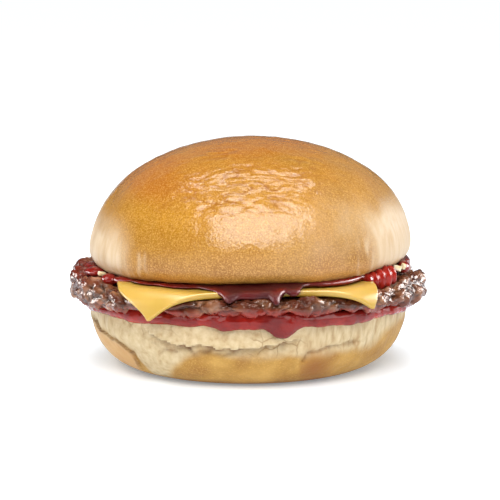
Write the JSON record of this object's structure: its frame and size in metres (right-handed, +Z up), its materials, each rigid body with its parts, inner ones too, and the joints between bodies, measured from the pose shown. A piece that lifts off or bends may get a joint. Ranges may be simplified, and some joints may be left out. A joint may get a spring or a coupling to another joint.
{
  "type": "cheeseburger",
  "caption": "Cheeseburger: a soft round bun cut in two, with a grilled beef patty, a slice of melted cheese and ketchup between its halves.",
  "frame": {"origin": "centre of the bounding box at the flat underside of the heel", "axes": "+Z up through the crown; the front, where both cheese corners hang, faces -Y; +X to the right seen from the front"},
  "size_m": [0.112, 0.1132, 0.0715],
  "materials": {
    "heel_bread": "soft baked bread, matte crust and pale crumb",
    "crown_crust": "glazed golden-brown crust, soft gloss",
    "beef": "grilled minced beef, coarse with wet fat highlights",
    "cheese": "soft melted cheese, satin and slightly translucent",
    "ketchup": "thick wet ketchup, glossy"
  },
  "bodies": {
    "root": {"heel": "heel_bread", "ketchup_lower": "ketchup", "patty": "beef", "cheese": "cheese", "ketchup_upper": "ketchup", "crown": "crown_crust"}
  },
  "joints": []
}
